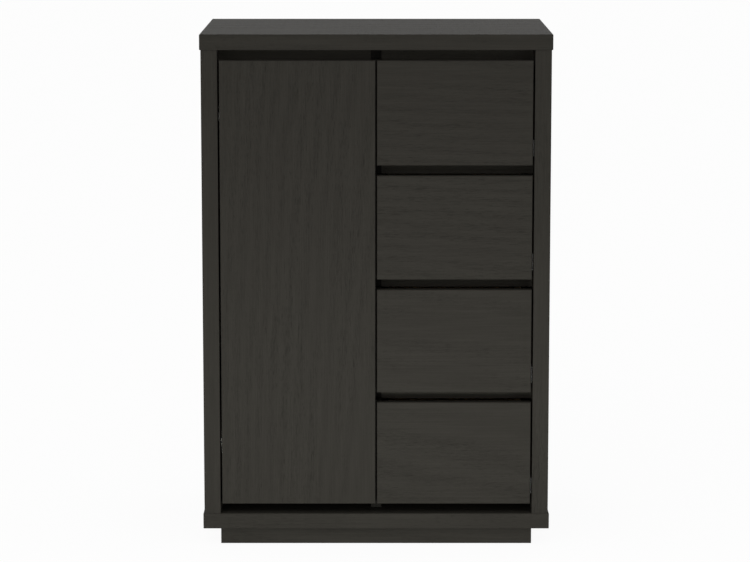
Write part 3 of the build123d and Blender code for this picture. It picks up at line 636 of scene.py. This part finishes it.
class CABINET_OT_boxes(bpy.types.Operator):
    """Finish the drawer boxes, the corner blocks and the dowels in pale wood"""

    bl_idname = "cabinet.boxes"
    bl_label = "Finish the drawer boxes"

    def execute(self, context):
        for n in DRAWERS:
            side = pale_wood(f"maple_foil_{n}", "Y", (0.5 * n, 0.07 * n, 0.3), MAPLE_FOIL)
            dress(f"drawer_{n}_left_side", side)
            dress(f"drawer_{n}_right_side", side)
            back = pale_wood(f"maple_foil_back_{n}", "X", (0.4 * n, 0.05 * n, 0.1), MAPLE_FOIL)
            dress(f"drawer_{n}_back", back)
            base = pale_wood(f"plywood_{n}", "X", (0.7 * n, 0.11 * n, 0.2), PLYWOOD)
            dress(f"drawer_{n}_bottom", base)
        dress("plinth_blocks", pale_wood("block_wood", "Z", (0.1, 0.2, 0.3), BLOCK_WOOD))
        dress("carcass_dowels", pale_wood("dowel_beech", "Z", (0.3, 0.1, 0.2), DOWEL_BEECH))
        return {"FINISHED"}


class CABINET_OT_fittings(bpy.types.Operator):
    """Finish the runners, rollers, hinges, pins, screws and pads"""

    bl_idname = "cabinet.fittings"
    bl_label = "Finish the fittings"

    def execute(self, context):
        enamel = painted_steel("runner_enamel")
        dark, light = (0.70, 0.69, 0.65), (0.80, 0.79, 0.75)
        nylon = moulded("roller_nylon", dark, light, roughness=0.42, gloss=0.4, subsurface=0.15)
        dark, light, brushed = (0.40, 0.385, 0.36), (0.55, 0.535, 0.50), (900.0, 60.0, 900.0)
        nickel = bare_metal("hinge_nickel", dark, light, 0.34, 320.0, brushed)
        dark, light, brushed = (0.44, 0.455, 0.47), (0.62, 0.63, 0.64), (1200.0, 1200.0, 1200.0)
        zinc = bare_metal("screw_zinc", dark, light, 0.36, 1400.0, brushed)
        dark, light = (0.022, 0.021, 0.020), (0.040, 0.038, 0.036)
        rubber = moulded("pad_rubber", dark, light, roughness=0.75, gloss=0.3)
        for part in ("arms", "plates", "cups", "inner_links", "outer_links"):
            dress("hinge_" + part, nickel)
        for node in ("screws", "shelf_pins"):
            dress(node, zinc)
        dress("door_bumpers", rubber)
        dress("cabinet_runners", enamel)
        for n in DRAWERS:
            dress(f"drawer_{n}_runners", enamel)
            for end in ("front", "rear"):
                dress(f"drawer_{n}_{end}_rollers", nylon)
        return {"FINISHED"}


class CABINET_OT_rollers(bpy.types.Operator):
    """Put moulded rollers in the places of the plain ones"""

    bl_idname = "cabinet.rollers"
    bl_label = "Make the rollers"

    def execute(self, context):
        sizes = context.scene.cabinet_rollers
        tree = roller_tree()
        for n in DRAWERS:
            for end in ("front", "rear"):
                plain = f"drawer_{n}_{end}_rollers"
                low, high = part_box(plain)
                middle = (low + high) / 2
                values = {
                    "Radius": (high.z - low.z) / 2, "Bore": sizes.bore, "Width": sizes.width,
                    "Wall": sizes.wall, "Corner": sizes.corner, "Sides": sizes.sides,
                    "Finish": bpy.data.materials["roller_nylon"],
                }
                places = [
                    ((x, middle.y, middle.z), (1.0, 0.0, 0.0))
                    for x in (low.x + sizes.width / 2, high.x - sizes.width / 2)
                ]
                name, body = f"drawer_{n}_{end}_nylon_rollers", f"drawer_{n}_{end}_roller_pair"
                made = repeated(name, body, tree, places, values, context)
                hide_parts(plain)
        return {"FINISHED"}


class CABINET_OT_runner_screws(bpy.types.Operator):
    """Add the screw heads that hold the runners to the case and to the drawers"""

    bl_idname = "cabinet.runner_screws"
    bl_label = "Add the runner screws"

    def execute(self, context):
        radius = context.scene.cabinet_screws.radius
        low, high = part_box("cabinet_runners")
        walls = ((low.x, 1.0), (high.x, -1.0))
        case_places = []
        for n in DRAWERS:
            rail_low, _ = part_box(f"drawer_{n}_runners")
            foot = rail_low.z - SEAT_DROP
            box_places = []
            for wall, way in walls:
                for step in CASE_SCREW_STEPS:
                    place = (wall + way * RUNNER_SHEET, low.y + step, foot + CASE_SCREW_HEIGHT)
                    case_places.append((place, (way, 0.0, 0.0)))
                for step in BOX_SCREW_STEPS:
                    place = (wall + way * RUNNER_WEB, rail_low.y + step, foot + BOX_SCREW_HEIGHT)
                    box_places.append((place, (-way, 0.0, 0.0)))
            screw_heads(f"drawer_{n}_runner_screws", f"drawer_{n}", box_places, radius, n, context)
        screw_heads("case_runner_screws", "cabinet", case_places, radius, 11, context)
        return {"FINISHED"}


class CABINET_OT_hinge_screws(bpy.types.Operator):
    """Add the screw heads of the hinges"""

    bl_idname = "cabinet.hinge_screws"
    bl_label = "Add the hinge screws"

    def execute(self, context):
        radius = context.scene.cabinet_screws.hinge_radius
        plate_low, plate_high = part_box("hinge_plates")
        _, cup_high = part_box("hinge_cups")
        wall, front = plate_low.x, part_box("door_panel")[0].y
        inward, rearward = (1.0, 0.0, 0.0), (0.0, 1.0, 0.0)
        case_places, door_places = [], []
        for middle in (plate_low.z + HINGE_REACH, plate_high.z - HINGE_REACH):
            for depth in ARM_SCREW_DEPTHS:
                case_places.append(((wall + ARM_FACE, front + depth, middle), inward))
            for side in (-1.0, 1.0):
                height = middle + side * WING_SCREW_OFFSET
                case_places.append(((wall + WING_FACE, front + WING_SCREW_DEPTH, height), inward))
                height = middle + side * CUP_SCREW_OFFSET
                door_places.append(((wall + CUP_SCREW_REACH, cup_high.y, height), rearward))
        screw_heads("hinge_arm_screws", "cabinet", case_places, radius, 21, context)
        screw_heads("hinge_cup_screws", "door", door_places, radius, 22, context)
        return {"FINISHED"}


def lamp(name, place, aim, size, power, colour):
    """A soft rectangular lamp, size wide and high, that faces a point."""
    light = bpy.data.lights.new(name, "AREA")
    light.shape = "RECTANGLE"
    light.size, light.size_y = size
    light.energy, light.color = power, colour
    made = bpy.data.objects.new(name, light)
    bpy.context.collection.objects.link(made)
    made.location = place
    made.rotation_euler = (Vector(aim) - Vector(place)).to_track_quat("-Z", "Y").to_euler()


def background_rays(wiring):
    """1 for rays that show the background: to the camera, in gloss and through glass."""
    names = ("Is Camera Ray", "Is Glossy Ray", "Is Transmission Ray")
    rays = [wiring.node("ShaderNodeLightPath", output=name) for name in names]
    return rays[0].most(rays[1]).most(rays[2])


class CABINET_OT_studio(bpy.types.Operator):
    """Make the pale floor, the soft light and the camera"""

    bl_idname = "cabinet.studio"
    bl_label = "Make the studio"

    def execute(self, context):
        studio, scene = context.scene.cabinet_studio, context.scene

        reach = 60.0  # from the middle to the floor's edges
        mesh = bpy.data.meshes.new("studio_floor")
        corners = [(x * reach, y * reach, 0.0) for x, y in ((-1, -1), (1, -1), (1, 1), (-1, 1))]
        mesh.from_pydata(corners, [], [(0, 1, 2, 3)])
        floor = bpy.data.objects.new("studio_floor", mesh)
        context.collection.objects.link(floor)
        material = bpy.data.materials.new("studio_paper")
        material.use_nodes = True
        mesh.materials.append(material)
        paper = Wiring(material.node_tree)
        seen = background_rays(paper)
        place = paper.node("ShaderNodeTexCoord", output="Object")
        cloud = paper.noise(paper.scaled(place, (1.5, 1.5, 1.5)), 2.0)
        colour = paper.mixed(cloud, (0.86, 0.86, 0.86), (0.88, 0.88, 0.88))
        matt = paper.node("ShaderNodeBsdfDiffuse", None, {"Color": colour})
        glow = paper.node("ShaderNodeEmission", None, {"Color": STUDIO_WHITE, "Strength": 1.0})
        sockets = {0: seen * studio.floor_whiteness, 1: matt, 2: glow}
        mixed = paper.node("ShaderNodeMixShader", None, sockets)
        paper.node("ShaderNodeOutputMaterial", None, {"Surface": mixed})

        world = bpy.data.worlds.new("studio_world")
        world.use_nodes = True
        scene.world = world
        room = Wiring(world.node_tree)
        strength = background_rays(room) * (1.0 - studio.room) + studio.room
        sockets = {"Color": STUDIO_WHITE, "Strength": strength}
        light = room.node("ShaderNodeBackground", None, sockets)
        room.node("ShaderNodeOutputWorld", None, {"Surface": light})

        above, middle = (-1.6, -3.4, 3.2), (0.0, 0.0, 0.45)
        lamp("key_light", above, middle, (2.6, 1.8), studio.key, (1.0, 0.99, 0.97))
        ahead, foot = (0.0, -0.95, 0.12), (0.0, -0.2, 0.12)
        lamp("low_light", ahead, foot, (1.6, 0.12), studio.low, (0.98, 1.0, 0.97))

        camera = bpy.data.cameras.new("camera")
        camera.lens, camera.sensor_width = studio.lens, 36.0
        camera.shift_y = studio.shift
        camera.clip_end = 200.0
        viewer = bpy.data.objects.new("camera", camera)
        context.collection.objects.link(viewer)
        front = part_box("top_board")[0].y
        viewer.location = (-studio.aside, front - studio.distance, studio.height)
        viewer.rotation_euler = (math.pi / 2 - studio.tilt, 0.0, 0.0)
        scene.camera = viewer
        scene.view_settings.view_transform = "Standard"
        return {"FINISHED"}


class CABINET_PT_panel(bpy.types.Panel):
    """Lists the steps and their settings"""

    bl_idname = "CABINET_PT_panel"
    bl_label = "Storage cabinet"
    bl_space_type = "VIEW_3D"
    bl_region_type = "UI"
    bl_category = "Cabinet"

    def draw(self, context):
        for step in STEPS:
            self.layout.operator(step.bl_idname)
        for name in SETTINGS:
            box = self.layout.box()
            settings = getattr(context.scene, name)
            for key in settings.__annotations__:
                box.prop(settings, key)


STEPS = (
    CABINET_OT_boards, CABINET_OT_boxes, CABINET_OT_fittings, CABINET_OT_rollers,
    CABINET_OT_runner_screws, CABINET_OT_hinge_screws, CABINET_OT_studio,
)
SETTINGS = {
    "cabinet_foil": CabinetFoil,
    "cabinet_screws": CabinetScrews,
    "cabinet_rollers": CabinetRollers,
    "cabinet_studio": CabinetStudio,
}
CLASSES = (*SETTINGS.values(), *STEPS, CABINET_PT_panel)


def register():
    for item in CLASSES:
        bpy.utils.register_class(item)
    for name, group in SETTINGS.items():
        setattr(bpy.types.Scene, name, bpy.props.PointerProperty(type=group))


def unregister():
    for name in SETTINGS:
        delattr(bpy.types.Scene, name)
    for item in reversed(CLASSES):
        bpy.utils.unregister_class(item)


def main():
    """Run every step in order."""
    register()
    for step in STEPS:
        group, name = step.bl_idname.split(".")
        getattr(getattr(bpy.ops, group), name)()


if __name__ == "__main__":
    main()
